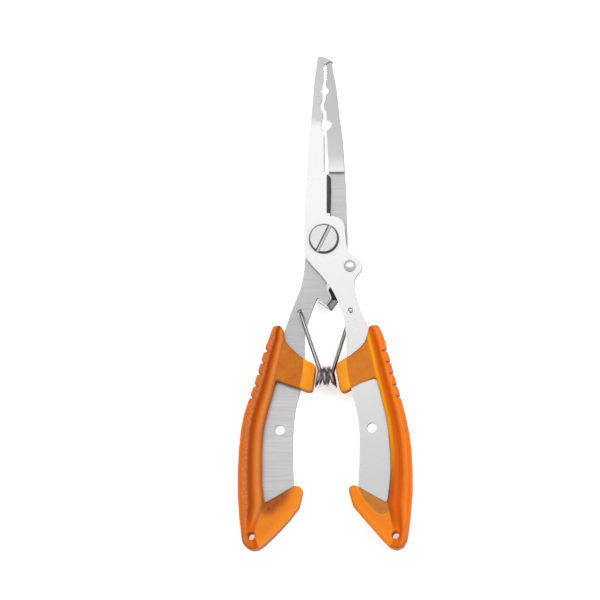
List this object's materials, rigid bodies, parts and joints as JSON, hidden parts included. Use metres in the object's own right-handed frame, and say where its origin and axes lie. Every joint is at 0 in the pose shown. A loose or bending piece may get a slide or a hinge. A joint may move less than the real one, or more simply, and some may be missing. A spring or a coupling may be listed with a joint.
{
  "type": "fishing pliers",
  "caption": "Long-nose fishing pliers with crimp holes, a shear blade, a hooked split-ring tooth, an opening spring, a swing lock and moulded finger-guard grips.",
  "frame": {"origin": "on the pivot axis, in the plane of the pivot nut's back face, which the tool rests on with the backs of its grips", "axes": "+Z out of the front face, +Y from the pivot towards the jaw tips, +X to the right seen from the front"},
  "size_m": [0.0569, 0.1621, 0.0104],
  "materials": {
    "front_steel": "satin",
    "rear_steel": "brushed",
    "screw_steel": "satin",
    "nut_steel": "satin",
    "spring_wire": "polished",
    "grip_plastic": "translucent, satin",
    "lock_steel": "blackened",
    "rivet_steel": "polished"
  },
  "bodies": {
    "rear_body": {"rear_lever": "rear_steel", "left_grip": "grip_plastic", "pivot_nut": "nut_steel", "pivot_screw": "screw_steel", "return_spring": "spring_wire"},
    "front_body": {"front_lever": "front_steel", "right_grip": "grip_plastic", "lock_rivet": "rivet_steel", "lock_washer": "nut_steel"},
    "lock_body": {"lock_lever": "lock_steel"}
  },
  "joints": [
    {"name": "jaw_pivot", "type": "hinge", "parent": "rear_body", "child": "front_body", "pos_m": [0, 0, 0.0052], "axis": [0, 0, 1], "range_deg": [-0.5, 25], "stiffness_Nm_per_rad": 0.3, "springref_deg": 25.21, "deforming": ["return_spring"]},
    {"name": "lock_swing", "type": "hinge", "parent": "front_body", "child": "lock_body", "pos_m": [0.00857, -0.00893, 0.0052], "axis": [0, 0, 1], "range_deg": [0, 15]}
  ]
}
